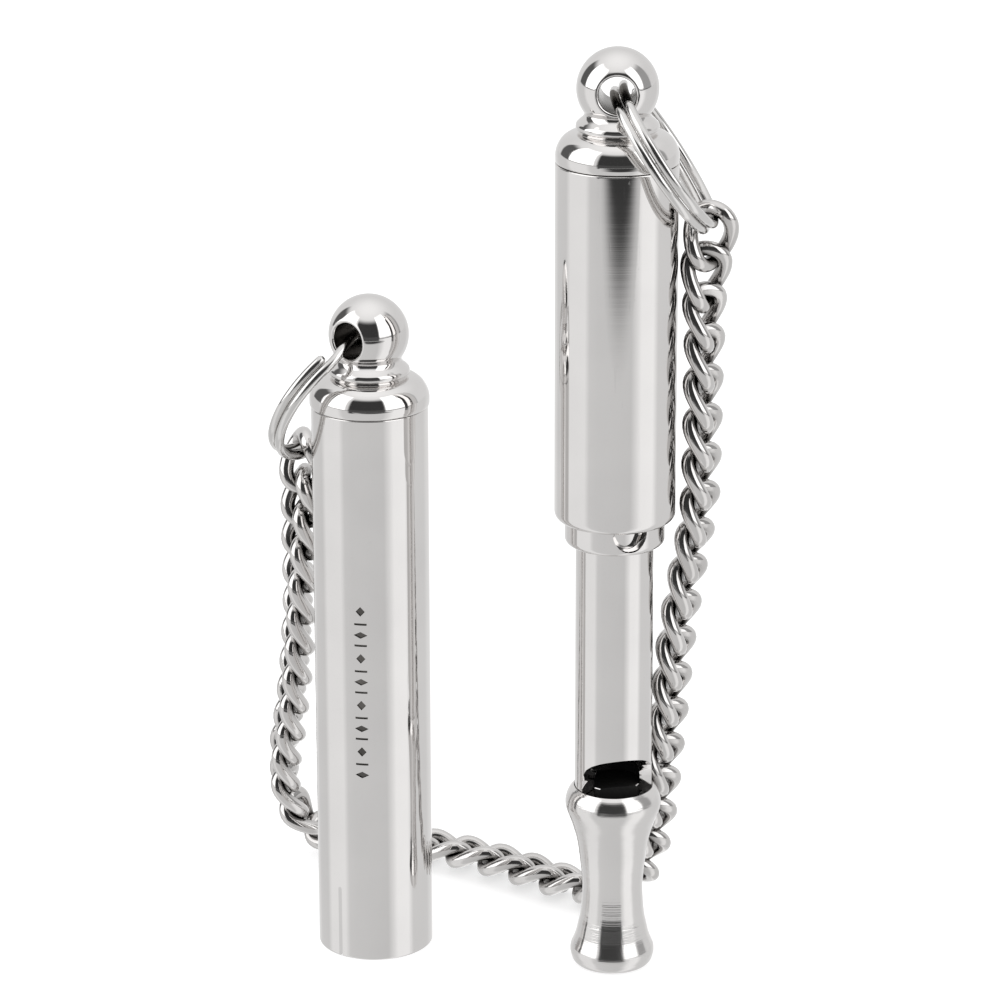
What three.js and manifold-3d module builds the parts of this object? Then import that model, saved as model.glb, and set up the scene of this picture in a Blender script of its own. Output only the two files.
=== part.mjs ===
// Pitch-adjustable training whistle with its protective cap, joined by a curb chain.
// Millimetres, +Z up. Both pieces stand on z = 0, the whistle on its mouthpiece and the cap on its
// open end. +X runs from the cap towards the whistle, and the whistle's window faces -Y.

import * as THREE from 'three';
import { mergeVertices } from 'three/addons/utils/BufferGeometryUtils.js';
import Module from 'manifold-3d';

const wasm = await Module();
wasm.setup();

// ---- driving dimensions -------------------------------------------------------------------

const TURN_STEPS = 32;            // flats round a turned piece
const FIT = 0.05;                 // radial clearance between pieces that touch

const WHISTLE_AT = [10.25, -3.05]; // where the two axes stand
const CAP_AT = [-9.94, 1.57];

// finial: the ball, neck and shoulder on top of both the barrel and the cap
const BALL_RADIUS = 3.33;
const HOLE_RADIUS = 1.5;          // cross-hole for the split ring
const NECK_RADIUS = 3.33;
const SHOULDER_DROP = 6.0;        // from the ball's centre down to the shoulder's lower edge
const SPIGOT_LENGTH = 3.6;        // how far the finial reaches into its tube

// whistle
const TUBE_RADIUS = 3.23;
const TUBE_BORE = 2.72;
const TUBE_FOOT = 13.2;           // seat of the tube inside the mouthpiece
const TUBE_TOP = 58;
const FOOT_RADIUS = 3.56;
const WAIST_RADIUS = 2.54;
const WAIST_HEIGHT = 6.9;
const COLLAR_RADIUS = 3.98;
const COLLAR_HEIGHT = 14.6;
const MOUTH_TOP = 16.0;
const MOUTH_BORE = 2.0;
const WINDOW_TURN = 10;           // degrees from -Y towards +X
const WINDOW_DEPTH = 2.15;        // distance of the cut's flat from the tube's axis
const LIP_HEIGHT = 18.1;          // the edge that splits the air
const WINDOW_TOP = 19.5;          // where the lip's slope runs out
const PLUG_RADIUS = TUBE_BORE - FIT;
const WINDWAY_FLAT = 2.1;         // distance of the plug's flat from the axis

const LOCK_RADIUS = 4.14;
const LOCK_FOOT = 37.6;
const LOCK_TOP = 43.2;
const TOMMY_RADIUS = 1.45;        // hole for a tommy bar in the lock ring
const TOMMY_HEIGHT = 39.5;
const TOMMY_TURN = 17;            // degrees from -Y towards +X

const BARREL_RADIUS = 5;
const BARREL_FOOT = 39.7;
const BARREL_TOP = 69.73;
const BARREL_BORE = 3.9;
const SKIRT_BORE = LOCK_RADIUS + 0.11;
const SKIRT_TOP = 43.6;
const NUT_TOP = 54;               // the barrel's threaded land ends here
const NUT_BORE = TUBE_RADIUS + 0.1;

const ROD_RADIUS = 0.9;
const PISTON_FOOT = 28;
const PISTON_TOP = 33;
const PISTON_RADIUS = 2.5;
const GROOVE_RADIUS = 1.9;
const SEAL_RADIUS = 2.69;
const SEAL_FOOT = 29.6;
const SEAL_TOP = 31.4;

// cap
const CAP_RADIUS = 4.87;
const CAP_BORE = 4.42;
const CAP_TOP = 48.08;
const SLIT_WIDTH = 0.3;
const SLIT_HEIGHT = 6.4;
const SLIT_TURN = -36.5;          // degrees from -Y towards +X

// split rings
const RING_RADIUS = 6.6;          // centre line of the wire
const RING_WIRE = 0.375;          // wire radius
const RING_TURNS = 1.9;
const TURN_SPACING = 0.84;
const RING_DROP = 6.75;           // from the ball's centre to the ring's centre
const RING_START = 137;           // degrees round the ring from its far end to the wire's end
const WHISTLE_HOLE_TURN = -2.2;   // direction of each cross-hole, from -Y towards +X
const CAP_HOLE_TURN = -37.4;
const WHISTLE_RING_LEAN = 56;     // degrees below level
const CAP_RING_LEAN = 58;

// curb chain
const LINK_PITCH = 3.45;
const LINK_WIRE = 0.54;           // wire radius
const LINK_HALF_LENGTH = 2.4;     // centre line of the wire
const LINK_HALF_WIDTH = 1.65;
const LINK_TWIST = 0.72;          // how far the sides stand out of the link's plane

// the chain's centre line, from the whistle's ring down, along the ground and up to the cap's ring
const CHAIN_ROUTE = [
  [17.77, -3.1, 63.6], [17.42, -3, 60.1], [17.42, -2.9, 55], [17.36, -2.85, 50], [17.34, -2.55, 45],
  [17.15, -1.95, 40], [16.3, -1, 34], [15.55, -0.2, 28], [15, 0.6, 21.5], [14.45, 1.6, 15.5],
  [13.8, 2.8, 10], [13, 4.05, 6.2], [11.8, 5.5, 3.3], [10.15, 6.95, 1.95], [8.1, 8.4, 1.45],
  [5.6, 10.2, 1.3], [3, 12.3, 1.3], [0.3, 14.3, 1.3], [-2.5, 16.1, 1.3], [-5.6, 17.8, 1.3],
  [-8.8, 19, 1.3], [-12.1, 19.75, 1.4], [-14.55, 19.95, 2], [-16.45, 19.75, 3.4], [-17.75, 19.1, 5.4],
  [-18.3, 18.15, 8], [-18.25, 16.95, 10.9], [-17.75, 15, 14.5], [-17, 12.4, 20.5], [-16.35, 9.6, 28.5],
  [-16, 7.55, 35], [-15.75, 6.3, 39.2], [-15.62, 5.92, 41.7],
];

// which way the links' long sides lie, at each point of the route
const CHAIN_EDGE = [
  [0.98, 0.21, 0], [0.93, 0.37, 0], [0.83, 0.56, 0], [0.71, 0.71, 0], [0.62, 0.79, 0], [0.53, 0.85, 0],
  [0.44, 0.9, 0], [0.41, 0.91, 0], [0.41, 0.91, 0], [0.44, 0.9, 0], [0.5, 0.87, 0], [0.57, 0.82, 0],
  [0.63, 0.78, 0], [0.64, 0.77, 0], [0.63, 0.78, 0], [0.63, 0.78, 0], [0.62, 0.79, 0], [0.57, 0.82, 0],
  [0.5, 0.87, 0], [0.41, 0.91, 0], [0.26, 0.97, 0], [0.1, 0.99, 0], [0, 1, 0.03], [-0.08, 0.98, 0.1],
  [-0.16, 0.96, 0.15], [-0.24, 0.94, 0.15], [-0.33, 0.92, 0.12], [-0.42, 0.89, 0.08], [-0.48, 0.86, 0],
  [-0.58, 0.8, 0], [-0.68, 0.73, 0], [-0.77, 0.64, 0], [-0.79, 0.61, 0],
];

// ---- finishes -----------------------------------------------------------------------------

const NICKEL = new THREE.MeshStandardMaterial({ color: 0xc9c6c2, roughness: 0.08, metalness: 1 });
const STEEL = new THREE.MeshStandardMaterial({ color: 0xb9b8b8, roughness: 0.14, metalness: 1 });
const BRASS = new THREE.MeshStandardMaterial({ color: 0xb5954f, roughness: 0.3, metalness: 1 });
const LEATHER = new THREE.MeshStandardMaterial({ color: 0x3a2a1e, roughness: 0.8, metalness: 0 });

// ---- building blocks ----------------------------------------------------------------------

const radians = THREE.MathUtils.degToRad;

// a piece turned about Z: the outline is a Path of (radius, height), running upwards outside
function turned(outline, divisions = 2) {
  return new THREE.LatheGeometry(outline.getPoints(divisions), TURN_STEPS).rotateX(Math.PI / 2);
}

// a ring-shaped piece between two radii and two heights
function sleeve(inner, outer, bottom, top) {
  return turned(polygon([[inner, bottom], [outer, bottom], [outer, top], [inner, top], [inner, bottom]]));
}

function rod(radius, bottom, top) {
  return turned(polygon([[0, bottom], [radius, bottom], [radius, top], [0, top]]));
}

function polygon(points) {
  const path = new THREE.Path().moveTo(...points[0]);
  for (const point of points.slice(1)) path.lineTo(...point);
  return path;
}

// only positions, shared between neighbours, and no triangle that has shrunk to a line
function welded(geometry) {
  const bare = geometry.clone();
  bare.deleteAttribute('normal');
  bare.deleteAttribute('uv');
  const merged = mergeVertices(bare, 1e-4);
  const index = merged.index.array;
  const kept = [];
  for (let i = 0; i < index.length; i += 3) {
    const [a, b, c] = [index[i], index[i + 1], index[i + 2]];
    if (a !== b && b !== c && c !== a) kept.push(a, b, c);
  }
  merged.setIndex(kept);
  return merged;
}

function toSolid(geometry) {
  const { attributes, index } = welded(geometry);
  return new wasm.Manifold(new wasm.Mesh({
    numProp: 3,
    vertProperties: new Float32Array(attributes.position.array),
    triVerts: new Uint32Array(index.array),
  }));
}

function cut(body, ...tools) {
  let solid = toSolid(body);
  for (const tool of tools) solid = solid.subtract(toSolid(tool));
  const { vertProperties, triVerts } = solid.getMesh();
  const geometry = new THREE.BufferGeometry();
  geometry.setAttribute('position', new THREE.BufferAttribute(vertProperties, 3));
  geometry.setIndex(new THREE.BufferAttribute(triVerts, 1));
  geometry.computeVertexNormals();
  return geometry;
}

// a drill through Z's axis at a height, pointing in a direction counted from -Y towards +X
function drill(radius, length, height, turn, steps = 16) {
  return new THREE.CylinderGeometry(radius, radius, length, steps)
    .rotateZ(radians(turn)).translate(0, 0, height);
}

function piece(name, geometry, material, parent) {
  const mesh = new THREE.Mesh(geometry, material);
  mesh.name = name;
  parent.add(mesh);
  return mesh;
}

// ---- finial: spigot, shoulder, neck and cross-drilled ball ---------------------------------

function finial(spigotRadius, holeTurn, ballHeight) {
  const foot = -SHOULDER_DROP;
  const outline = polygon([
    [0, foot - SPIGOT_LENGTH], [spigotRadius, foot - SPIGOT_LENGTH], [spigotRadius, foot],
    [BARREL_RADIUS - 0.08, foot], [BARREL_RADIUS - 0.02, foot + 0.7],
  ]);
  outline.bezierCurveTo(4.98, -4.5, 4.3, -4.0, 3.35, -3.62);
  outline.lineTo(3.05, -3.5);
  outline.lineTo(NECK_RADIUS, -3.35);
  outline.lineTo(NECK_RADIUS, -2.85);
  outline.quadraticCurveTo(3.15, -2.3, 2.6, -2.08);
  const start = Math.atan2(-2.08, 2.6);
  outline.absarc(0, 0, BALL_RADIUS, start, Math.PI / 2, false);
  const body = turned(outline, 3);
  return cut(body, drill(HOLE_RADIUS, 4 * BALL_RADIUS, 0, holeTurn)).translate(0, 0, ballHeight);
}

// ---- split ring ---------------------------------------------------------------------------

// Nearly two turns of wire side by side, with one step from the first turn to the second.
// It lies in the XZ plane with its thickness along Y.
class SplitRingWire extends THREE.Curve {
  getPoint(t, target = new THREE.Vector3()) {
    const turns = t * RING_TURNS;
    const step = THREE.MathUtils.smoothstep(turns, 0.9, 1.0);
    const angle = 2 * Math.PI * turns;
    return target.set(
      RING_RADIUS * Math.cos(angle),
      TURN_SPACING * (0.5 - step),
      RING_RADIUS * Math.sin(angle),
    );
  }
}

// a round section of wire
function wireSection(radius, sides) {
  const shape = new THREE.Shape();
  for (let i = 0; i < sides; i++) {
    const angle = (2 * Math.PI * i) / sides;
    const point = [radius * Math.cos(angle), radius * Math.sin(angle)];
    if (i === 0) shape.moveTo(...point);
    else shape.lineTo(...point);
  }
  shape.closePath();
  return shape;
}

// the ring, hung through a ball at a height, leaning out at right angles to the ball's hole
function splitRing(name, outwards, lean, ballHeight, parent) {
  const wire = new THREE.ExtrudeGeometry(wireSection(RING_WIRE, 6), {
    steps: 44, extrudePath: new SplitRingWire(), curveSegments: 1,
  });
  wire.rotateX(Math.PI / 2).rotateZ(radians(RING_START)).translate(RING_DROP, 0, 0)
    .rotateY(radians(lean)).rotateZ(radians(outwards)).translate(0, 0, ballHeight);
  piece(name, wire, STEEL, parent);
}

// ---- curb chain ---------------------------------------------------------------------------

// one curb link along Z: an oval whose two sides are twisted out of its plane
class CurbLink extends THREE.Curve {
  getPoint(t, target = new THREE.Vector3()) {
    const angle = 2 * Math.PI * t;
    return target.set(
      LINK_HALF_WIDTH * Math.sin(angle),
      -LINK_TWIST * Math.sin(2 * angle),
      LINK_HALF_LENGTH * Math.cos(angle),
    );
  }
}

function chain(parent) {
  const route = new THREE.CatmullRomCurve3(CHAIN_ROUTE.map((p) => new THREE.Vector3(...p)));
  route.arcLengthDivisions = 2000;
  const edges = new THREE.CatmullRomCurve3(CHAIN_EDGE.map((e) => new THREE.Vector3(...e)));
  const count = Math.round(route.getLength() / LINK_PITCH) + 1;
  const link = new THREE.TubeGeometry(new CurbLink(), 12, LINK_WIRE, 6, true);
  for (let i = 0; i < count; i++) {
    const t = route.getUtoTmapping(i / (count - 1));
    const along = route.getTangent(t);
    const edge = edges.getPoint(t).projectOnPlane(along).normalize();
    const face = new THREE.Vector3().crossVectors(along, edge);
    const mesh = piece(`chain_link_${String(i + 1).padStart(2, '0')}`, link, NICKEL, parent);
    mesh.position.copy(route.getPoint(t));
    mesh.setRotationFromMatrix(new THREE.Matrix4().makeBasis(edge, face, along));
  }
}

// ---- whistle ------------------------------------------------------------------------------

function mouthpiece() {
  const outline = polygon([[MOUTH_BORE, 0], [FOOT_RADIUS - 0.5, 0]]);
  outline.quadraticCurveTo(FOOT_RADIUS, 0.05, FOOT_RADIUS, 0.8);
  outline.bezierCurveTo(3.5, 2.2, WAIST_RADIUS, 3.6, WAIST_RADIUS, WAIST_HEIGHT);
  outline.bezierCurveTo(WAIST_RADIUS, 10.6, 3.45, 12.2, 3.85, COLLAR_HEIGHT - 0.7);
  outline.quadraticCurveTo(4.1, COLLAR_HEIGHT + 0.2, 3.85, COLLAR_HEIGHT + 0.8);
  outline.quadraticCurveTo(3.7, MOUTH_TOP - 0.1, TUBE_RADIUS + FIT, MOUTH_TOP);
  outline.lineTo(TUBE_RADIUS + FIT, TUBE_FOOT - FIT);
  outline.lineTo(PLUG_RADIUS + FIT, TUBE_FOOT - FIT);
  outline.lineTo(PLUG_RADIUS + FIT, TUBE_FOOT - 3);
  outline.lineTo(MOUTH_BORE, TUBE_FOOT - 3.6);
  outline.lineTo(MOUTH_BORE, 0);
  return turned(outline, 2);
}

// the cutter that opens the tube's window and slopes its lip
function windowCutter() {
  const profile = new THREE.Shape([
    [WINDOW_DEPTH, MOUTH_TOP - 0.4], [WINDOW_DEPTH, LIP_HEIGHT], [TUBE_RADIUS + 0.3, WINDOW_TOP],
    [5, WINDOW_TOP], [5, MOUTH_TOP - 0.4],
  ].map((p) => new THREE.Vector2(...p)));
  const width = 2 * COLLAR_RADIUS;
  return new THREE.ExtrudeGeometry(profile, { depth: width, bevelEnabled: false })
    .translate(0, 0, -width / 2).rotateX(Math.PI / 2).rotateZ(radians(WINDOW_TURN - 90));
}

// a cylinder with a flat along its front, which leaves the windway open beside it
function windwayPlug() {
  const body = rod(PLUG_RADIUS, TUBE_FOOT - 2.7, MOUTH_TOP + 0.1);
  const flat = new THREE.BoxGeometry(2, 8, 12).translate(WINDWAY_FLAT + 1, 0, TUBE_FOOT)
    .rotateZ(radians(WINDOW_TURN - 90));
  return cut(body, flat);
}

function lockRing() {
  const inner = TUBE_RADIUS + FIT;
  const outline = polygon([[inner, LOCK_FOOT], [LOCK_RADIUS - 0.6, LOCK_FOOT]]);
  outline.quadraticCurveTo(LOCK_RADIUS, LOCK_FOOT, LOCK_RADIUS, LOCK_FOOT + 0.6);
  outline.lineTo(LOCK_RADIUS, LOCK_TOP);
  outline.lineTo(inner, LOCK_TOP);
  outline.lineTo(inner, LOCK_FOOT);
  const body = turned(outline);
  const bar = new THREE.CylinderGeometry(TOMMY_RADIUS, TOMMY_RADIUS, 4, 16)
    .translate(0, -LOCK_RADIUS, TOMMY_HEIGHT).rotateZ(radians(TOMMY_TURN));
  return cut(body, bar);
}

function barrelSleeve() {
  const outline = polygon([[SKIRT_BORE, BARREL_FOOT], [BARREL_RADIUS - 0.6, BARREL_FOOT]]);
  outline.quadraticCurveTo(BARREL_RADIUS, BARREL_FOOT, BARREL_RADIUS, BARREL_FOOT + 0.8);
  for (const [radius, height] of [
    [BARREL_RADIUS, BARREL_TOP], [BARREL_BORE, BARREL_TOP], [BARREL_BORE, NUT_TOP], [NUT_BORE, NUT_TOP],
    [NUT_BORE, SKIRT_TOP], [SKIRT_BORE, SKIRT_TOP], [SKIRT_BORE, BARREL_FOOT],
  ]) outline.lineTo(radius, height);
  return turned(outline);
}

function piston() {
  return turned(polygon([
    [0, PISTON_FOOT], [PISTON_RADIUS, PISTON_FOOT], [PISTON_RADIUS, SEAL_FOOT - FIT],
    [GROOVE_RADIUS, SEAL_FOOT - FIT], [GROOVE_RADIUS, SEAL_TOP + FIT], [PISTON_RADIUS, SEAL_TOP + FIT],
    [PISTON_RADIUS, PISTON_TOP], [0, PISTON_TOP],
  ]));
}

function whistle(parent) {
  const ballHeight = BARREL_TOP + SHOULDER_DROP + FIT;
  const tube = sleeve(TUBE_BORE, TUBE_RADIUS, TUBE_FOOT, TUBE_TOP);
  piece('mouthpiece', mouthpiece(), NICKEL, parent);
  piece('windway_plug', windwayPlug(), BRASS, parent);
  piece('whistle_tube', cut(tube, windowCutter()), NICKEL, parent);
  piece('lock_ring', lockRing(), NICKEL, parent);
  piece('barrel_sleeve', barrelSleeve(), NICKEL, parent);
  piece('barrel_finial', finial(BARREL_BORE - FIT, WHISTLE_HOLE_TURN, ballHeight), NICKEL, parent);
  piece('plunger_rod', rod(ROD_RADIUS, PISTON_TOP + FIT, BARREL_TOP - SPIGOT_LENGTH),
    BRASS, parent);
  piece('plunger_piston', piston(), BRASS, parent);
  piece('piston_seal', sleeve(GROOVE_RADIUS + FIT, SEAL_RADIUS, SEAL_FOOT, SEAL_TOP), LEATHER, parent);
  splitRing('whistle_split_ring', WHISTLE_HOLE_TURN, WHISTLE_RING_LEAN, ballHeight, parent);
}

// ---- cap ----------------------------------------------------------------------------------

function capTube() {
  const outline = polygon([[CAP_BORE, 0], [CAP_RADIUS - 0.18, 0], [CAP_RADIUS, 0.25]]);
  outline.lineTo(CAP_RADIUS, CAP_TOP);
  outline.lineTo(CAP_BORE, CAP_TOP);
  outline.lineTo(CAP_BORE, 0);
  const slit = new THREE.BoxGeometry(SLIT_WIDTH, 4 * CAP_RADIUS, 2 * SLIT_HEIGHT)
    .rotateZ(radians(SLIT_TURN));
  return cut(turned(outline), slit);
}

function cap(parent) {
  const ballHeight = CAP_TOP + SHOULDER_DROP + FIT;
  piece('cap_tube', capTube(), NICKEL, parent);
  piece('cap_finial', finial(CAP_BORE - FIT, CAP_HOLE_TURN, ballHeight), NICKEL, parent);
  splitRing('cap_split_ring', CAP_HOLE_TURN + 180, CAP_RING_LEAN, ballHeight, parent);
}

// ---- assembly -----------------------------------------------------------------------------

const group = new THREE.Group();

const whistleGroup = new THREE.Group();
whistleGroup.position.set(...WHISTLE_AT, 0);
whistle(whistleGroup);
group.add(whistleGroup);

const capGroup = new THREE.Group();
capGroup.position.set(...CAP_AT, 0);
cap(capGroup);
group.add(capGroup);

chain(group);

export default group;
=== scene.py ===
"""Training whistle with its cap and chain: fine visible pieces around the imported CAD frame."""

import math

import bmesh
import bpy
import numpy as np
from mathutils import Matrix, Vector


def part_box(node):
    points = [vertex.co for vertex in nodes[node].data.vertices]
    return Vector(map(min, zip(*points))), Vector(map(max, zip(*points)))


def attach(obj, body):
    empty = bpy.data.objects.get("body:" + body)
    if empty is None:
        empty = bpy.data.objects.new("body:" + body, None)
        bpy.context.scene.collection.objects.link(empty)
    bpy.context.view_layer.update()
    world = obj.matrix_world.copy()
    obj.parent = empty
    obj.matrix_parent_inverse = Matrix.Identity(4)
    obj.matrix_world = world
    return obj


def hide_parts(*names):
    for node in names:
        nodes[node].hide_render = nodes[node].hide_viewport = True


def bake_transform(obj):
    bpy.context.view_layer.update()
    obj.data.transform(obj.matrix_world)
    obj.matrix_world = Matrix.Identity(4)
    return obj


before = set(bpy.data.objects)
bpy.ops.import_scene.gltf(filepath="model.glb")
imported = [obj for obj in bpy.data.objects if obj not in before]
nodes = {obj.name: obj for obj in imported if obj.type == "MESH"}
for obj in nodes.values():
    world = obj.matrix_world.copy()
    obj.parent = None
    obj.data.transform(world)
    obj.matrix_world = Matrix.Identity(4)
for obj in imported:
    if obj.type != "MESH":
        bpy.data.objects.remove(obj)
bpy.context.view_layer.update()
scene = bpy.context.scene

MM = 0.001
TURN_STEPS = 160                  # flats round a turned piece
BALL_RADIUS = 3.33
HOLE_RADIUS = 1.5
WHISTLE_HOLE_TURN = -2.2          # direction of each cross-hole, degrees from -Y towards +X
CAP_HOLE_TURN = -37.4
WINDOW_TURN = 14.0
LINK_COUNT = 41
GUARD = 0.1                       # a ring of points beside each rounding keeps a long wall straight
LONG_WALL = 2.0


def middle(node):
    low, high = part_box(node)
    return (low.x + high.x) / 2 / MM, (low.y + high.y) / 2 / MM


def bottom(node):
    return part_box(node)[0].z / MM


def top(node):
    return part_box(node)[1].z / MM


WHISTLE_AT = middle("barrel_sleeve")
CAP_AT = middle("cap_tube")
WHISTLE_BALL = top("barrel_finial") - BALL_RADIUS
CAP_BALL = top("cap_finial") - BALL_RADIUS


# ---- camera --------------------------------------------------------------------------------

CAMERA_AT = (0.809, -335.24, 152.77)
CAMERA_PITCH = math.radians(18.559)
CAMERA_ROLL = math.radians(-0.126)
SENSOR_WIDTH = 36
LENS = 153.68

camera = bpy.data.objects.new("camera", bpy.data.cameras.new("camera"))
scene.collection.objects.link(camera)
camera.data.sensor_width = SENSOR_WIDTH
camera.data.lens = LENS
camera.data.clip_start = 0.01
camera.data.clip_end = 20
level_right = Vector((1, 0, 0))
level_up = Vector((0, math.sin(CAMERA_PITCH), math.cos(CAMERA_PITCH)))
right = level_right * math.cos(CAMERA_ROLL) + level_up * math.sin(CAMERA_ROLL)
up = -level_right * math.sin(CAMERA_ROLL) + level_up * math.cos(CAMERA_ROLL)
camera.matrix_world = Matrix.Translation(Vector(CAMERA_AT) * MM) @ Matrix(
    (right, up, right.cross(up))).transposed().to_4x4()
scene.camera = camera
scene.view_settings.view_transform = "Standard"


# ---- mesh building -------------------------------------------------------------------------


def rounded(corners, arc_steps=6):
    """A closed outline from (radius, height, rounding) corners."""
    points = []
    for i, (r, z, rounding) in enumerate(corners):
        here = Vector((r, z))
        before = Vector(corners[i - 1][:2])
        after = Vector(corners[(i + 1) % len(corners)][:2])
        if rounding <= 0:
            points.append((r, z))
            continue
        a = (before - here).normalized()
        b = (after - here).normalized()
        half = a.angle(b) / 2
        reach = rounding / math.tan(half)
        centre = here + (a + b).normalized() * rounding / math.sin(half)
        start = here + a * reach - centre
        sweep = start.angle_signed(here + b * reach - centre)
        guard = here + a * (reach + GUARD)
        if (before - here).length > LONG_WALL:
            points.append((guard.x, guard.y))
        for k in range(arc_steps + 1):
            turn = -sweep * k / arc_steps
            c, s = math.cos(turn), math.sin(turn)
            p = centre + Vector((start.x * c - start.y * s, start.x * s + start.y * c))
            points.append((p.x, p.y))
        guard = here + b * (reach + GUARD)
        if (after - here).length > LONG_WALL:
            points.append((guard.x, guard.y))
    return points


def spline(points, steps=5):
    """A smooth curve through the points, with all of them on it."""
    p = [Vector(q) for q in points]
    p = [p[0] * 2 - p[1]] + p + [p[-1] * 2 - p[-2]]
    curve = []
    for i in range(1, len(p) - 2):
        for k in range(steps):
            t = k / steps
            curve.append(0.5 * (2 * p[i] + (p[i + 1] - p[i - 1]) * t
                                + (2 * p[i - 1] - 5 * p[i] + 4 * p[i + 1] - p[i + 2]) * t * t
                                + (3 * p[i] - p[i - 1] - 3 * p[i + 1] + p[i + 2]) * t ** 3))
    return curve + [p[-2]]


def lathe(outline, steps=TURN_STEPS):
    """Vertices and faces of a closed (radius, height) outline turned about Z, in mm."""
    rings, verts, faces = [], [], []
    for r, z in outline:
        if r < 1e-6:
            rings.append([len(verts)] * steps)
            verts.append((0, 0, z))
            continue
        rings.append(list(range(len(verts), len(verts) + steps)))
        verts += [(r * math.cos(a), r * math.sin(a), z)
                  for a in (2 * math.pi * j / steps for j in range(steps))]
    for i, ring in enumerate(rings):
        above = rings[(i + 1) % len(rings)]
        for j in range(steps):
            k = (j + 1) % steps
            corners = list(dict.fromkeys([ring[j], ring[k], above[k], above[j]]))
            if len(corners) > 2:
                faces.append(corners)
    return verts, faces


def tube(points, sides_at, closed):
    """Vertices and faces of a swept wire: sides_at(i) gives the ring of points round point i."""
    verts, faces = [], []
    for i in range(len(points)):
        verts += sides_at(i)
    sides = len(verts) // len(points)
    for i in range(len(points) if closed else len(points) - 1):
        m = (i + 1) % len(points)
        for j in range(sides):
            k = (j + 1) % sides
            faces.append([i * sides + j, i * sides + k, m * sides + k, m * sides + j])
    if not closed:
        faces.append(list(range(sides))[::-1])
        faces.append([(len(points) - 1) * sides + j for j in range(sides)])
    return verts, faces


def prism(front, back):
    """Vertices and faces between two outlines of as many points."""
    n = len(front)
    sides = [[i, (i + 1) % n, n + (i + 1) % n, n + i] for i in range(n)]
    return front + back, sides + [list(range(n))[::-1], [n + i for i in range(n)]]


def joined(parts):
    """Several parts as one, each still with its own vertices."""
    verts, faces = [], []
    for v, f in parts:
        base = len(verts)
        verts += v
        faces += [[k + base for k in face] for face in f]
    return verts, faces


def to_object(name, part, place=Matrix.Identity(4), sharp=35):
    """A shaded object from vertices in mm, moved by place (in mm)."""
    mesh = bpy.data.meshes.new(name)
    mesh.from_pydata([tuple(place @ Vector(v) * MM) for v in part[0]], [], part[1])
    mesh.validate()
    obj = bpy.data.objects.new(name, mesh)
    scene.collection.objects.link(obj)
    shade(mesh, sharp)
    return obj


def shade(mesh, sharp=35):
    mesh.polygons.foreach_set("use_smooth", [True] * len(mesh.polygons))
    mesh.set_sharp_from_angle(angle=math.radians(sharp))
    mesh.update()


def at(place, z=0.0):
    return Matrix.Translation((place[0], place[1], z))


def facing(turn):
    """A turn about Z that takes -Y to a direction counted from -Y towards +X."""
    return Matrix.Rotation(math.radians(turn), 4, "Z")


def cut(obj, cutter):
    """Take the cutter away from the object, and remove the cutter."""
    tool = bmesh.new()
    tool.from_mesh(cutter.data)
    bmesh.ops.recalc_face_normals(tool, faces=tool.faces)
    tool.to_mesh(cutter.data)
    tool.free()
    change = obj.modifiers.new("cut", "BOOLEAN")
    change.object = cutter
    change.solver = "EXACT"
    bpy.context.view_layer.update()
    evaluated = obj.evaluated_get(bpy.context.evaluated_depsgraph_get())
    mesh = bpy.data.meshes.new_from_object(evaluated)
    obj.modifiers.clear()
    obj.data = mesh
    shade(mesh)
    bpy.data.objects.remove(cutter)


def true_round(obj, axis, radius):
    """Exact normals on the faces that lie on a cylinder about a vertical axis."""
    mesh = obj.data
    mesh.update()
    normals = np.zeros(len(mesh.loops) * 3, np.float32)
    mesh.corner_normals.foreach_get("vector", normals)
    normals = normals.reshape(-1, 3)
    co = np.array([v.co for v in mesh.vertices], float) / MM - np.array([*axis, 0])
    across = np.hypot(co[:, 0], co[:, 1])
    for face in mesh.polygons:
        at_corner = list(face.vertices)
        if np.abs(across[at_corner] - radius).max() < 0.02 and abs(face.normal.z) < 0.05:
            for loop, v in zip(face.loop_indices, at_corner):
                normals[loop] = (co[v, 0] / across[v], co[v, 1] / across[v], 0)
    mesh.normals_split_custom_set([tuple(n) for n in normals])


# ---- materials -----------------------------------------------------------------------------


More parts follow.
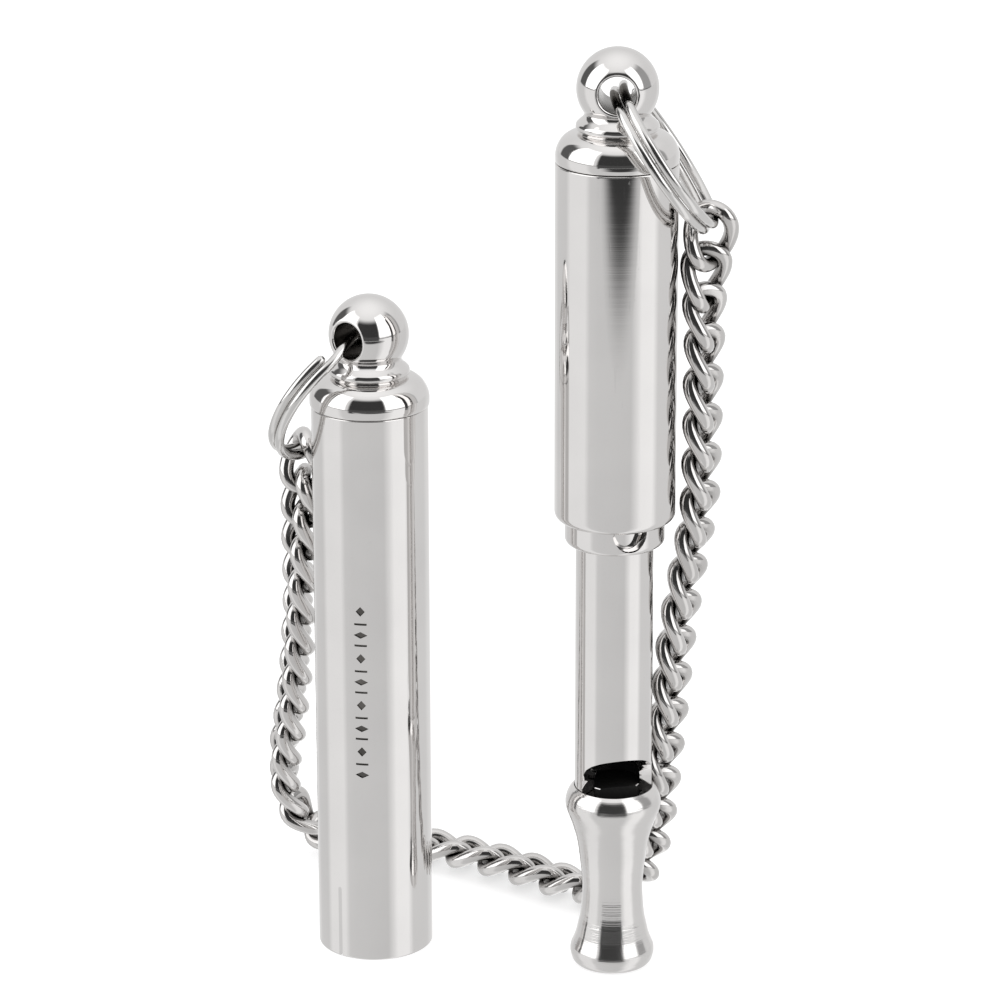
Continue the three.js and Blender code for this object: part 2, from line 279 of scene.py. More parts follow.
class Graph:
    """A node tree that is written as sums."""

    def __init__(self, tree):
        self.tree = tree
        tree.nodes.clear()

    def node(self, kind, inputs=None, **settings):
        node = self.tree.nodes.new(kind)
        for key, value in settings.items():
            setattr(node, key, value)
        for key, value in (inputs or {}).items():
            if isinstance(value, bpy.types.NodeSocket):
                self.tree.links.new(value, node.inputs[key])
            else:
                node.inputs[key].default_value = value
        return node

    def math(self, operation, a, b=0.0, c=0.0):
        return self.node("ShaderNodeMath", {0: a, 1: b, 2: c}, operation=operation).outputs[0]

    def spread(self, value, low, high, to_low=0.0, to_high=1.0, kind="LINEAR"):
        return self.node("ShaderNodeMapRange", {0: value, 1: low, 2: high, 3: to_low, 4: to_high},
                         interpolation_type=kind).outputs[0]

    def step(self, value, place, soft):
        return self.spread(value, place - soft, place + soft, kind="SMOOTHSTEP")

    def window(self, value, low, high, soft):
        return self.math("MULTIPLY", self.step(value, low, soft),
                         self.math("SUBTRACT", 1.0, self.step(value, high, soft)))

    def blend(self, factor, a, b):
        return self.node("ShaderNodeMix", {0: factor, 2: a, 3: b}, data_type="FLOAT").outputs[0]

    def colours(self, factor, a, b):
        return self.node("ShaderNodeMix", {0: factor, 6: (*a, 1), 7: (*b, 1)},
                         data_type="RGBA").outputs[2]

    def noise(self, vector, scale, detail=3.0, roughness=0.5):
        return self.node("ShaderNodeTexNoise", {"Vector": vector, "Scale": scale, "Detail": detail,
                                                "Roughness": roughness}).outputs[0]

    def from_axis(self, axis):
        """Object coordinates counted from a vertical axis."""
        return self.node("ShaderNodeMapping", {
            "Vector": self.node("ShaderNodeTexCoord").outputs["Object"],
            "Location": (-axis[0] * MM, -axis[1] * MM, 0)}).outputs[0]

    def output(self, shader, kind="Material"):
        self.tree.links.new(shader.outputs[0], self.node(f"ShaderNodeOutput{kind}").inputs[0])


def new_material(name):
    material = bpy.data.materials.new(name)
    material.use_nodes = True
    return material, Graph(material.node_tree)


# sizes of the metal's detail and of its painted crevice shade: noise scales, and depths and
# distances in metres
RING_SCALE = 9000.0
BROAD_RING_SCALE = 1400.0
HAZE_SCALE = 160.0
HAIR_SCALE = 5200.0
SPECK_SCALE = 1500.0
RING_DEPTH = 0.0000022
SCRATCH_DEPTH = 0.0000025
CREVICE_REACH = 0.0011
STAIN_SCALE = 420.0


def turned_metal(name, axis, bright, dull, rough, marks=0.35, scratches=0.25, painted_crevice_shade=None):
    """Plated metal with turning rings, hairline scratches, faint haze and, when asked, painted
    shade that darkens its crevices.
    """
    material, g = new_material(name)
    place = g.from_axis(axis)
    xyz = g.node("ShaderNodeSeparateXYZ", {0: place})
    across = g.math("SQRT", g.math("ADD", g.math("POWER", xyz.outputs[0], 2.0),
                                   g.math("POWER", xyz.outputs[1], 2.0)))
    ring_place = g.node("ShaderNodeCombineXYZ", {0: across, 1: xyz.outputs[2], 2: 0.0}).outputs[0]
    rings = g.noise(ring_place, RING_SCALE, 2.0)
    broad_rings = g.noise(ring_place, BROAD_RING_SCALE, 2.0)
    haze = g.noise(place, HAZE_SCALE, 5.0)
    stretched = g.node("ShaderNodeMapping", {"Vector": place, "Rotation": (0.5, 0.3, 0.7),
                                             "Scale": (1.0, 1.0, 0.06)}).outputs[0]
    hairs = g.spread(g.noise(stretched, HAIR_SCALE, 1.0), 0.66, 0.74)
    specks = g.spread(g.noise(place, SPECK_SCALE, 2.0), 0.72, 0.78)
    colour = g.colours(g.spread(haze, 0.35, 0.75), bright, dull)
    # Painted shade: ambient occlusion darkens the colour towards a dark tone in crevices, between
    # parts and near the floor.
    if painted_crevice_shade:
        open_air = g.node("ShaderNodeAmbientOcclusion", {"Distance": CREVICE_REACH},
                          samples=6).outputs["AO"]
        colour = g.node("ShaderNodeMix", {0: g.spread(open_air, 0.25, 0.95), 6: (*painted_crevice_shade, 1),
                                          7: colour}, data_type="RGBA").outputs[2]
    roughness = g.math("ADD", g.math("ADD", g.spread(haze, 0.3, 0.7, rough * 0.6, rough * 1.5),
                                     g.math("MULTIPLY", hairs, scratches * 0.25)),
                       g.math("MULTIPLY", specks, 0.12))
    height = g.math("ADD", g.math("MULTIPLY", rings, 0.6), g.math("MULTIPLY", broad_rings, 1.4))
    bump = g.node("ShaderNodeBump", {
        "Strength": min(marks, 1.0), "Distance": RING_DEPTH * max(marks, 1.0),
        "Height": height}).outputs[0]
    bump = g.node("ShaderNodeBump", {
        "Strength": scratches, "Distance": SCRATCH_DEPTH, "Height": hairs,
        "Normal": bump}, invert=True).outputs[0]
    shader = g.node("ShaderNodeBsdfPrincipled", {"Base Color": colour, "Metallic": 1.0,
                                                 "Roughness": roughness, "Normal": bump})
    g.output(shader)
    return material


def plain_turned(name, axis, light, dark, rough, metallic, grain, depth):
    """A dull turned or cut material, with its grain and stains."""
    material, g = new_material(name)
    place = g.from_axis(axis)
    stains = g.noise(place, STAIN_SCALE, 4.0)
    fine = g.noise(place, grain, 6.0, 0.65)
    colour = g.colours(g.spread(stains, 0.35, 0.65), light, dark)
    bump = g.node("ShaderNodeBump", {"Strength": 0.5, "Distance": depth, "Height": fine}).outputs[0]
    shader = g.node("ShaderNodeBsdfPrincipled", {
        "Base Color": colour, "Metallic": metallic, "Normal": bump,
        "Roughness": g.spread(fine, 0.3, 0.7, rough * 0.75, rough * 1.25)})
    g.output(shader)
    return material


NICKEL_BRIGHT, NICKEL_DULL = (0.79, 0.775, 0.765), (0.75, 0.735, 0.727)
whistle_nickel = turned_metal("whistle_nickel", WHISTLE_AT, NICKEL_BRIGHT, NICKEL_DULL, 0.045)
cap_nickel = turned_metal("cap_nickel", CAP_AT, NICKEL_BRIGHT, NICKEL_DULL, 0.045)
mouth_nickel = turned_metal("mouth_nickel", WHISTLE_AT, NICKEL_BRIGHT, NICKEL_DULL, 0.13,
                            marks=8.0, scratches=0.3)
# The chain's crevices are darkened as painted shade.
chain_nickel = turned_metal("chain_nickel", WHISTLE_AT, (0.73, 0.715, 0.705), (0.62, 0.605, 0.595),
                            0.06, marks=0.0, scratches=0.4, painted_crevice_shade=(0.09, 0.085, 0.08))
# A dark metal painted as shade on the walls of the balls' cross-holes and of the cap's pressed
# marks.
painted_recess_shade = turned_metal("painted_recess_shade", WHISTLE_AT, (0.20, 0.19, 0.18), (0.08, 0.075, 0.07), 0.25)
ring_metal = turned_metal("ring_metal", WHISTLE_AT, (0.74, 0.73, 0.72), (0.66, 0.65, 0.64), 0.09,
                          marks=0.1, scratches=0.4)
bare_brass = plain_turned("bare_brass", WHISTLE_AT, (0.62, 0.47, 0.20), (0.40, 0.28, 0.11),
                          rough=0.32, metallic=1.0, grain=5000.0, depth=0.00001)
# A black material painted as shade inside the bores, inside the cap and on the windway plug.
painted_bore_shade = plain_turned("painted_bore_shade", WHISTLE_AT, (0.012, 0.011, 0.010), (0.004, 0.004, 0.004),
                         rough=0.6, metallic=0.0, grain=3000.0, depth=0.00001)
greased_leather = plain_turned("greased_leather", WHISTLE_AT, (0.09, 0.05, 0.03),
                               (0.04, 0.022, 0.014), rough=0.55, metallic=0.0, grain=2600.0,
                               depth=0.00003)


def finish_piece(obj, body, material, slot, *replaced):
    """One material all over, the body it rides on, its slot (not used) and the CAD nodes it stands
    for.
    """
    obj.data.materials.clear()
    obj.data.materials.append(material)
    if body:
        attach(obj, body)
    if replaced:
        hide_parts(*replaced)


def paint_faces(obj, material, origin, chosen):
    """Give a further material to the faces for which chosen(face, centre from origin) holds."""
    obj.data.materials.append(material)
    index = len(obj.data.materials) - 1
    for face in obj.data.polygons:
        if chosen(face, face.center / MM - Vector(origin)):
            face.material_index = index


def darken_inside(obj, axis, radius):
    """Faces well inside a radius, which no light reaches, take the black material as painted shade.
    """
    paint_faces(obj, painted_bore_shade, (*axis, 0), lambda face, c: math.hypot(c.x, c.y) < radius)


# ---- chain ---------------------------------------------------------------------------------

LINK_HALF_LENGTH = 2.4
LINK_HALF_WIDTH = 1.65
LINK_TWIST = 0.72
LINK_WIRE = 0.63


def link_frame(node):
    """Centre and axes of a CAD link, along its length, its width and its thickness."""
    co = np.array([v.co for v in nodes[node].data.vertices], float) / MM
    centre = co.mean(0)
    values, vectors = np.linalg.eigh(np.cov((co - centre).T))
    along, edge = Vector(vectors[:, 2]), Vector(vectors[:, 1])
    return Vector(centre), edge.normalized(), along.cross(edge).normalized(), along.normalized()


# how far each link is rolled round its own length, degrees seen from above, and lifted, mm
ROLL_AT = [1, 2, 3, 4, 5, 6, 8, 10, 12, 28, 31, 34, 37, 40, 41]
ROLLS = [0, 16, 30, 30, 24, 20, 11, 5, 0, 0, -12, -20, -26, -16, 0]
LEAN_AT = [15, 18, 24, 27]
LEANS = [0, 13, 13, 0]
LIFT_PER_DEGREE = 0.027


def link_part(node, steps=44, sides=14):
    """A smooth curb link where the CAD link is, rolled and leant as the tables say."""
    centre, edge, face, along = link_frame(node)
    number = int(node[-2:])
    upwards = along if along.z > 0 else -along
    edge = Matrix.Rotation(math.radians(np.interp(number, ROLL_AT, ROLLS)), 3, upwards) @ edge
    lean = np.interp(number, LEAN_AT, LEANS)
    towards_right = along if along.x > 0 else -along
    edge = Matrix.Rotation(math.radians(-lean), 3, towards_right) @ edge
    face = along.cross(edge)
    centre = centre + Vector((0, 0, LIFT_PER_DEGREE * lean))

    def point(t):
        return (centre + edge * LINK_HALF_WIDTH * math.sin(t)
                - face * LINK_TWIST * math.sin(2 * t) + along * LINK_HALF_LENGTH * math.cos(t))

    ring = [point(2 * math.pi * i / steps) for i in range(steps)]

    def sides_at(i):
        t = 2 * math.pi * i / steps
        tangent = (point(t + 0.01) - point(t - 0.01)).normalized()
        outward = ring[i] - centre
        outward = (outward - tangent * outward.dot(tangent)).normalized()
        other = tangent.cross(outward)
        return [tuple(ring[i] + LINK_WIRE * (outward * math.cos(a) + other * math.sin(a)))
                for a in (-2 * math.pi * j / sides for j in range(sides))]

    return tube(ring, sides_at, True)


def chain_section(name, first, last):
    """Links first to last as one piece, attached to no body."""
    names = [f"chain_link_{i:02d}" for i in range(first, last + 1)]
    obj = to_object(name, joined([link_part(n) for n in names]), sharp=80)
    finish_piece(obj, None, chain_nickel, "nickel_plate", *names)
    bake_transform(obj)


chain_section("chain_at_whistle_ring", 1, 11)
chain_section("chain_beside_whistle", 12, 22)
chain_section("chain_behind_cap", 23, 32)
chain_section("chain_at_cap_ring", 33, LINK_COUNT)


# ---- split rings ---------------------------------------------------------------------------

RING_RADIUS = 6.6
RING_WIRE = 0.40
RING_TURNS = 1.9
TURN_SPACING = 0.84
RING_DROP = 6.75
RING_START = 137
RING_STEPS = 230
RING_SIDES = 16
STEP_AT, STEP_LENGTH = 0.9, 0.1   # where one turn of the wire crosses over to the next, in turns
RING_ENDS = [(-0.30, 0.42), (-0.22, 0.72), (-0.08, 0.93)]     # how its cut ends are rounded
WHISTLE_RING_LEAN = 56
CAP_RING_LEAN = 58


def split_ring(name, place, ball, outwards, lean, body, node):
    """A split ring hanging in a ball's hole, leaning outwards."""
    pose = (at(place, ball) @ Matrix.Rotation(math.radians(outwards), 4, "Z")
            @ Matrix.Rotation(math.radians(lean), 4, "Y") @ Matrix.Translation((RING_DROP, 0, 0))
            @ Matrix.Rotation(math.radians(RING_START), 4, "Z"))
    points = []
    for i in range(RING_STEPS + 1):
        turns = RING_TURNS * i / RING_STEPS
        s = min(max((turns - STEP_AT) / STEP_LENGTH, 0), 1)
        s = s * s * (3 - 2 * s)
        a = 2 * math.pi * turns
        points.append(Vector((RING_RADIUS * math.cos(a), -RING_RADIUS * math.sin(a),
                              TURN_SPACING * (0.5 - s))))
    path, radii = [], []
    lead = (points[0] - points[1]).normalized()
    tail = (points[-1] - points[-2]).normalized()
    for reach, share in RING_ENDS:
        path.append(points[0] + lead * -reach)
        radii.append(RING_WIRE * share)
    path += points
    radii += [RING_WIRE] * len(points)
    for reach, share in reversed(RING_ENDS):
        path.append(points[-1] + tail * -reach)
        radii.append(RING_WIRE * share)

    def sides_at(i):
        tangent = (path[min(i + 1, len(path) - 1)] - path[max(i - 1, 0)]).normalized()
        across = Vector((0, 0, 1))
        across = (across - tangent * across.dot(tangent)).normalized()
        outward = tangent.cross(across)
        return [tuple(path[i] + radii[i] * (outward * math.cos(a) + across * math.sin(a)))
                for a in (2 * math.pi * j / RING_SIDES for j in range(RING_SIDES))]

    obj = to_object(name, tube(path, sides_at, False), pose, sharp=50)
    finish_piece(obj, body, ring_metal, "ring_steel", node)


split_ring("whistle_ring_wire", WHISTLE_AT, WHISTLE_BALL, WHISTLE_HOLE_TURN, WHISTLE_RING_LEAN,
           "whistle_ring", "whistle_split_ring")
split_ring("cap_ring_wire", CAP_AT, CAP_BALL, CAP_HOLE_TURN + 180, CAP_RING_LEAN,
           "cap_ring", "cap_split_ring")


# ---- finials -------------------------------------------------------------------------------


def ball_part(turn):
    """The ball, turned about its own cross-hole so that the hole's rim is truly round."""
    edge = math.sqrt(BALL_RADIUS ** 2 - HOLE_RADIUS ** 2)
    limit = math.atan2(edge, HOLE_RADIUS)
    arc = [(BALL_RADIUS * math.cos(a), BALL_RADIUS * math.sin(a), 0)
           for a in np.linspace(-limit + 0.14, limit - 0.14, 48)]
    outline = rounded([(HOLE_RADIUS, edge, 0.2), (HOLE_RADIUS, -edge, 0.2), *arc])
    verts, faces = lathe(outline, 128)
    pose = facing(turn) @ Matrix.Rotation(math.radians(90), 4, "X")
    return [tuple(pose @ Vector(v)) for v in verts], faces


def finial(name, place, ball, turn, spigot, body, material, node):
    """Shoulder, neck and ball, with heights counted from the ball's centre."""
    neck = spline([(4.99, -5.6), (4.985, -5.3), (4.93, -4.98), (4.82, -4.66), (4.64, -4.32),
                   (4.37, -4.0), (3.98, -3.74), (3.6, -3.62), (3.25, -3.56)], 5)
    neck += spline([(3.06, -3.50), (3.12, -3.38), (3.28, -3.31)], 4)
    neck += spline([(3.35, -3.24), (3.37, -3.1), (3.35, -2.94)], 4)
    neck += spline([(3.30, -2.80), (3.08, -2.58), (2.84, -2.36), (2.70, -2.16), (2.66, -2.02)], 5)
    body_outline = [(0, -9.6), (spigot, -9.6), (spigot, -6.0), (4.86, -6.0), (4.95, -5.96),
                    (4.99, -5.88)] + [tuple(p) for p in neck] + [(2.3, -1.8), (0, -1.8)]
    part = joined([lathe(body_outline), ball_part(turn)])
    obj = to_object(name, part, at(place, ball), sharp=40)
    finish_piece(obj, body, material, "nickel_plate", node)
    hole = facing(turn) @ Vector((0, -1, 0))
    # Painted shade: the walls of the ball's cross-hole take the dark recess material.
    paint_faces(obj, painted_recess_shade, (*place, ball), lambda face, c: (
        (c - hole * c.dot(hole)).length < HOLE_RADIUS + 0.02 and c.length < BALL_RADIUS))


WHISTLE_SPIGOT = 3.85             # radius of the part that sits in the barrel or the cap
CAP_SPIGOT = 4.37
finial("barrel_finial_turned", WHISTLE_AT, WHISTLE_BALL, WHISTLE_HOLE_TURN, WHISTLE_SPIGOT,
       "barrel", whistle_nickel, "barrel_finial")
finial("cap_finial_turned", CAP_AT, CAP_BALL, CAP_HOLE_TURN, CAP_SPIGOT, "cap", cap_nickel,
       "cap_finial")


# ---- whistle -------------------------------------------------------------------------------

foot, mouth_top = bottom("mouthpiece"), top("mouthpiece")
tube_foot, tube_top = bottom("whistle_tube"), top("whistle_tube")
barrel_foot, barrel_top = bottom("barrel_sleeve"), top("barrel_sleeve")
lock_foot, lock_top = bottom("lock_ring"), top("lock_ring")
TUBE_RADIUS = 3.23
TUBE_SEAT = 3.28
LOCK_RADIUS = 4.14
LOCK_HOLE_HEIGHT = 39.5
LOCK_HOLE_TURN = 17
BARREL_RADIUS = 5.0
PLUG_RADIUS = 2.26
PLUG_FLAT = -1.62                 # where the windway's flat is cut, from the plug's axis

mouth_curve = spline([
    (2.98, foot + 0.0), (3.22, foot + 0.12), (3.40, foot + 0.38), (3.50, foot + 0.75),
    (3.55, foot + 1.05), (3.5, 1.5), (3.3, 2.0), (3.1, 2.56), (2.97, 3.1), (2.84, 3.7), (2.73, 4.2),
    (2.62, 5.3), (2.545, 6.85), (2.62, 8.2), (2.75, 9.3), (2.87, 10.3), (3.07, 11.4), (3.37, 12.45),
    (3.55, 13.0), (3.76, 13.54), (3.95, 14.1), (4.01, 14.55), (3.97, 14.95), (3.83, 15.4),
    (3.6, 15.8), (3.34, 16.08)], 6)
mouth_outline = [(2.12, foot), *[tuple(p) for p in mouth_curve], (TUBE_SEAT, mouth_top + 0.08),
                 (TUBE_SEAT, tube_foot - 0.05), (2.45, tube_foot - 0.05), (2.45, 10.2), (2.0, 9.7),
                 (2.0, foot + 0.12)]
mouthpiece = to_object("mouthpiece_turned", lathe(mouth_outline), at(WHISTLE_AT), sharp=32)
finish_piece(mouthpiece, "whistle_body", mouth_nickel, "nickel_plate", "mouthpiece")
darken_inside(mouthpiece, WHISTLE_AT, 2.03)

tube_outline = rounded([
    (2.3, tube_foot, 0), (TUBE_RADIUS, tube_foot, 0), (TUBE_RADIUS, tube_top, 0.1),
    (2.72, tube_top, 0.1), (2.72, 24.0, 0), (2.3, 21.0, 0)])
fine_tube = to_object("whistle_tube_windowed", lathe(tube_outline, 192), at(WHISTLE_AT))
window = [(1.15, 15.2), (1.17, 17.05), (1.3, 17.65), (1.6, 18.2), (2.1, 18.68), (2.7, 19.1),
          (3.4, 19.5), (5.2, 19.6), (5.2, 15.2)]
window_part = prism(*[[(x, -depth, z) for depth, z in window] for x in (-5.0, 5.0)])
cut(fine_tube, to_object("window_cutter", window_part, at(WHISTLE_AT) @ facing(WINDOW_TURN)))
finish_piece(fine_tube, "whistle_body", whistle_nickel, "nickel_plate", "whistle_tube")
darken_inside(fine_tube, WHISTLE_AT, 2.9)
for face in fine_tube.data.polygons:        # the window's lip is bright again
    c = face.center / MM - Vector((*WHISTLE_AT, 0))
    outwards = face.normal.dot(Vector((c.x, c.y, 0))) > 0
    if 15.3 < c.z < 19.6 and math.hypot(c.x, c.y) < 3.2 and outwards:
        face.material_index = 0
true_round(fine_tube, WHISTLE_AT, TUBE_RADIUS)

plug = to_object("windway_plug_flat", lathe(rounded([
    (0, 10.5, 0), (PLUG_RADIUS, 10.5, 0.1), (PLUG_RADIUS, 16.45, 0.1), (0, 16.45, 0)])),
    at(WHISTLE_AT))
flat = to_object("flat_cutter", (
    [(x, y, z) for x in (-4, 4) for y in (-6, PLUG_FLAT) for z in (5, 20)],
    [[0, 1, 3, 2], [4, 6, 7, 5], [0, 4, 5, 1], [2, 3, 7, 6], [0, 2, 6, 4], [1, 5, 7, 3]]),
    at(WHISTLE_AT) @ facing(WINDOW_TURN))
cut(plug, flat)
finish_piece(plug, "whistle_body", bare_brass, "brass", "windway_plug")
# Painted shade: the plug's level and upright faces are black and its rounded edges take the nickel,
# so no face keeps the brass.
plug.data.materials.append(painted_bore_shade)
plug.data.materials.append(whistle_nickel)
for face in plug.data.polygons:
    level_or_upright = abs(face.normal.z) > 0.95 or abs(face.normal.z) < 0.05
    face.material_index = 1 if level_or_upright else 2

lock = to_object("lock_ring_drilled", lathe(rounded([
    (TUBE_SEAT, lock_foot, 0.05), (LOCK_RADIUS, lock_foot, 0.55), (LOCK_RADIUS, lock_top, 0.1),
    (TUBE_SEAT, lock_top, 0.05)]), 192), at(WHISTLE_AT))
drill = lathe([(0, 2.4), (1.45, 2.4), (1.45, 3.98), (1.62, 4.22), (1.62, 7), (0, 7)], 64)
drill_pose = (at(WHISTLE_AT, LOCK_HOLE_HEIGHT) @ facing(LOCK_HOLE_TURN)
              @ Matrix.Rotation(math.radians(90), 4, "X"))
cut(lock, to_object("drill_cutter", drill, drill_pose))
finish_piece(lock, "lock", whistle_nickel, "nickel_plate", "lock_ring")
true_round(lock, WHISTLE_AT, LOCK_RADIUS)

barrel = to_object("barrel_turned", lathe(rounded([
    (4.25, barrel_foot, 0.06), (BARREL_RADIUS, barrel_foot, 0.7),
    (BARREL_RADIUS, barrel_top, 0.09), (3.9, barrel_top, 0), (3.9, 54, 0), (3.33, 54, 0),
    (3.33, 43.6, 0), (4.25, 43.6, 0)]), 192), at(WHISTLE_AT))
finish_piece(barrel, "barrel", whistle_nickel, "nickel_plate", "barrel_sleeve")


# ---- cap -----------------------------------------------------------------------------------

CAP_RADIUS = 4.87
CAP_BORE = 4.42
SLIT_TURN = -36.5
STAMP_TURN = -10
cap_top = top("cap_tube")
cap = to_object("cap_tube_slit", lathe(rounded([
    (CAP_BORE, 0, 0.12), (CAP_RADIUS, 0, 0.2), (CAP_RADIUS, cap_top, 0.09),
    (CAP_BORE, cap_top, 0)]), 192), at(CAP_AT))
slit_side = [(-0.18, -2), (0.18, -2), (0.18, 6.25), (0.12, 6.37), (0, 6.42), (-0.12, 6.37),
             (-0.18, 6.25)]
slit_part = prism(*[[(x, y, z) for x, z in slit_side] for y in (-8, 8)])
cut(cap, to_object("slit_cutter", slit_part, at(CAP_AT) @ facing(SLIT_TURN)))


def stamp_part():
    """A plain column of lozenges and bars pressed into the cap, with no lettering."""
    shapes = []
    z = 17.0
    for i in range(8):
        half = 0.66 if i % 2 else 0.46
        wide = 0.62 if i % 2 else 0.95
        shapes.append([(0, z - half), (wide, z), (0, z + half), (-wide, z)])
        z += half + 0.5
        if i < 7:
            shapes.append([(-0.85, z - 0.14), (0.85, z - 0.14), (0.85, z + 0.14),
                           (-0.85, z + 0.14)])
        z += 0.5 + (0.42 if i % 2 else 0.62)
    parts = []
    for shape in shapes:
        front = [(x, -5.4, z) for x, z in shape]
        back = [(x * 0.55, -4.74, z * 0.55 + 0.45 * sum(p[1] for p in shape) / 4) for x, z in shape]
        parts.append((front + back, [[0, 1, 2, 3], [7, 6, 5, 4]]
                      + [[i, 4 + i, 4 + (i + 1) % 4, (i + 1) % 4] for i in range(4)]))
    return joined(parts)


cut(cap, to_object("stamp_cutter", stamp_part(), at(CAP_AT) @ facing(STAMP_TURN)))
finish_piece(cap, "cap", cap_nickel, "nickel_plate", "cap_tube")
# Painted shade: the faces of the pressed marks take the dark recess material.
paint_faces(cap, painted_recess_shade, (*CAP_AT, 0), lambda face, c: (
    10 < c.z < 40 and 4.6 < math.hypot(c.x, c.y) < 4.862 and c.y < 0
    and abs(face.normal.z) < 0.99))
# Painted shade: the inside of the cap's bore is black.
paint_faces(cap, painted_bore_shade, (*CAP_AT, 0), lambda face, c: (
    c.z > 0.5 and math.hypot(c.x, c.y) < 4.45))
true_round(cap, CAP_AT, CAP_RADIUS)


# ---- pieces kept from the CAD ----------------------------------------------------------------

for node, material, slot in [("plunger_rod", bare_brass, "brass"),
                             ("plunger_piston", bare_brass, "brass"),
                             ("piston_seal", greased_leather, "leather_seal")]:
    nodes[node].data.materials.clear()
    nodes[node].data.materials.append(material)
    shade(nodes[node].data)


# ---- floor, lights and surroundings ----------------------------------------------------------


def floor_piece(name, points, material):
    """A flat piece of the stage with one face."""
    mesh = bpy.data.meshes.new(name)
    mesh.from_pydata(points, [], [list(range(len(points)))])
    mesh.materials.append(material)
    obj = bpy.data.objects.new(name, mesh)
    scene.collection.objects.link(obj)
    return obj


paper, g = new_material("paper")
glow = g.node("ShaderNodeEmission", {"Color": (1, 1, 1, 1), "Strength": 0.62})
matt = g.node("ShaderNodeBsdfDiffuse", {"Color": (0.62, 0.62, 0.62, 1)})
both = g.node("ShaderNodeAddShader", {0: glow.outputs[0], 1: matt.outputs[0]})
g.output(both)
floor = floor_piece("floor", [(-3, -3, 0), (3, -3, 0), (3, 3, 0), (-3, 3, 0)], paper)
floor.visible_glossy = False

# Painted shade in reflections: a glowing sheet just above the floor, seen only in the metal's
# reflections, nearly black in its middle and greyer towards its rim, darkens the floor round the
# camera's foot.
CARD_AT = (50, -338)
CARD_SIZE = (250, 158)
CARD_LIFT = 0.0002                # metres above the floor
dark, g = new_material("painted_floor_shade_card")
card_place = g.node("ShaderNodeSeparateXYZ", {0: g.node("ShaderNodeTexCoord").outputs["Object"]})
squares = []
for k in range(2):
    from_middle = g.math("SUBTRACT", card_place.outputs[k], CARD_AT[k] * MM)
    share = g.math("MULTIPLY", from_middle, 1 / CARD_SIZE[k] / MM)
    squares.append(g.math("MULTIPLY", share, share))
distance = g.math("SQRT", g.math("ADD", *squares))
shade_of_card = g.node("ShaderNodeEmission", {
    "Color": (1, 1, 1, 1), "Strength": g.spread(distance, 0.5, 1.0, 0.045, 0.66, "SMOOTHSTEP")})
g.output(shade_of_card)
card = floor_piece("card", [((CARD_AT[0] + CARD_SIZE[0] * math.cos(a)) * MM,
                             (CARD_AT[1] + CARD_SIZE[1] * math.sin(a)) * MM, CARD_LIFT)
                            for a in np.linspace(0, 2 * math.pi, 64, endpoint=False)], dark)
for kind in ("visible_camera", "visible_diffuse", "visible_transmission", "visible_shadow"):
    setattr(card, kind, False)

METAL_SHARE = 0.78                # how much light the bright metal gives back
WORLD_STRENGTH = 1.6


def level(grey):
    """How bright the surroundings are where the metal shows a grey of 0 to 255."""
    c = grey / 255
    linear = c / 12.92 if c <= 0.04045 else ((c + 0.055) / 1.055) ** 2.4
    return linear / METAL_SHARE / WORLD_STRENGTH


world = bpy.data.worlds.new("studio")
scene.world = world
world.use_nodes = True
g = Graph(world.node_tree)
way = g.node("ShaderNodeSeparateXYZ", {0: g.node("ShaderNodeTexCoord").outputs["Generated"]})
az = g.math("MULTIPLY", g.math("ARCTAN2", way.outputs[0], g.math("MULTIPLY", way.outputs[1], -1.0)),
            180 / math.pi)
el = g.math("MULTIPLY", g.math("ARCSINE", way.outputs[2]), 180 / math.pi)
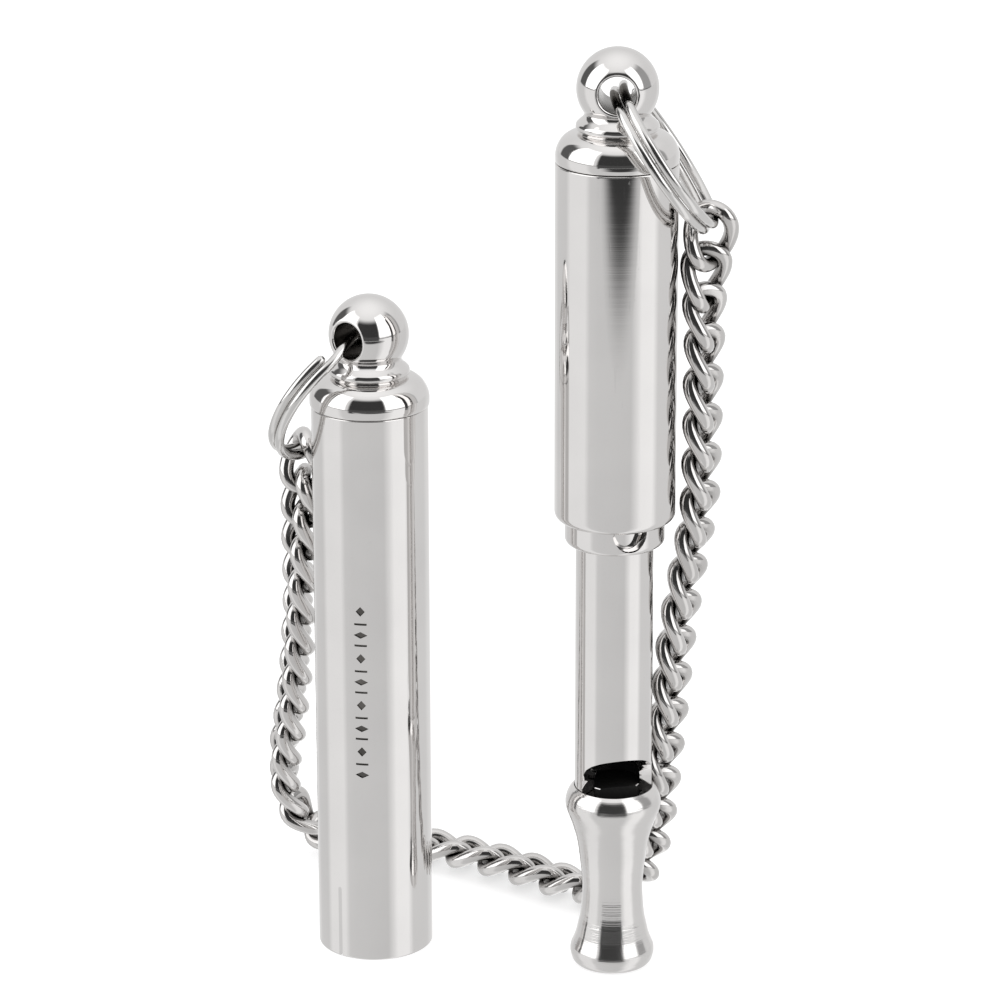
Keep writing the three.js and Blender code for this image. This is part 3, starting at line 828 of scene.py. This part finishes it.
# azimuth from the camera's side and grey, for what the upright walls reflect from low down
LOW_BANDS = [(-180, 222), (-150, 206), (-140, 197), (-110, 197), (-98, 220), (-62, 221), (-52, 198),
             (-36, 195), (27, 192), (38, 214), (47, 232), (72, 234), (84, 202), (130, 200),
             (140, 208), (158, 210), (168, 238), (180, 232)]
ramp = g.node("ShaderNodeValToRGB", {0: g.spread(az, -180.0, 180.0)})
elements = ramp.color_ramp.elements
while len(elements) > 1:
    elements.remove(elements[-1])
elements[0].position = 0
elements[0].color = (level(LOW_BANDS[0][1]),) * 3 + (1,)
for azimuth, grey in LOW_BANDS[1:]:
    elements.new((azimuth + 180) / 360).color = (level(grey),) * 3 + (1,)
low = g.node("ShaderNodeSeparateColor", {0: ramp.outputs[0]}).outputs[0]
high = g.blend(g.step(el, 55.0, 30.0), level(206), level(236))
PATCHES = [     # azimuths, elevations, grey and softness of what the bright balls reflect
    (-132, -100, -2, 42, 84, 3.0, 8.0),
    (73, 104, -2, 50, 150, 3.0, 8.0),
    (-103, -46, -2, 58, 288, 2.0, 3.0),
    (32, 74, 3, 60, 288, 2.0, 3.0),
    (-39, 31, -30, 48, 52, 3.0, 9.0),
]
for az0, az1, el0, el1, grey, soft, soft_top in PATCHES:
    mask = g.math("MULTIPLY", g.window(az, az0, az1, soft), g.math(
        "MULTIPLY", g.step(el, el0, soft), g.math("SUBTRACT", 1.0, g.step(el, el1, soft_top))))
    high = g.blend(mask, high, level(grey))
line = g.math("MULTIPLY", g.window(el, -3.0, 0.3, 0.6), g.window(az, -104.0, 104.0, 4.0))
high = g.blend(line, high, level(70))
lower_side = g.blend(g.step(el, -1.2, 1.0), low, high)
dark_middle = g.math("MULTIPLY", g.window(az, -39.0, 31.0, 3.0), g.window(el, -13.2, 5.0, 1.0))
pattern = g.blend(dark_middle, lower_side, level(70))
reflected = g.node("ShaderNodeBackground", {
    0: g.node("ShaderNodeCombineColor", {0: pattern, 1: pattern, 2: pattern}).outputs[0],
    1: WORLD_STRENGTH})
plain = g.node("ShaderNodeBackground", {0: (1, 1, 1, 1), 1: 1.0})
choice = g.node("ShaderNodeMixShader", {
    0: g.node("ShaderNodeLightPath").outputs["Is Glossy Ray"],
    1: plain.outputs[0], 2: reflected.outputs[0]})
g.output(choice, "World")

LAMP_AT = Vector((-0.25, -0.15, 0.7))
lamp = bpy.data.lights.new("softbox", "AREA")
lamp.size = 0.5
lamp.energy = 0.6
softbox = bpy.data.objects.new("softbox", lamp)
scene.collection.objects.link(softbox)
softbox.matrix_world = (Matrix.Translation(LAMP_AT)
                        @ LAMP_AT.to_track_quat("Z", "Y").to_matrix().to_4x4())
softbox.visible_glossy = False
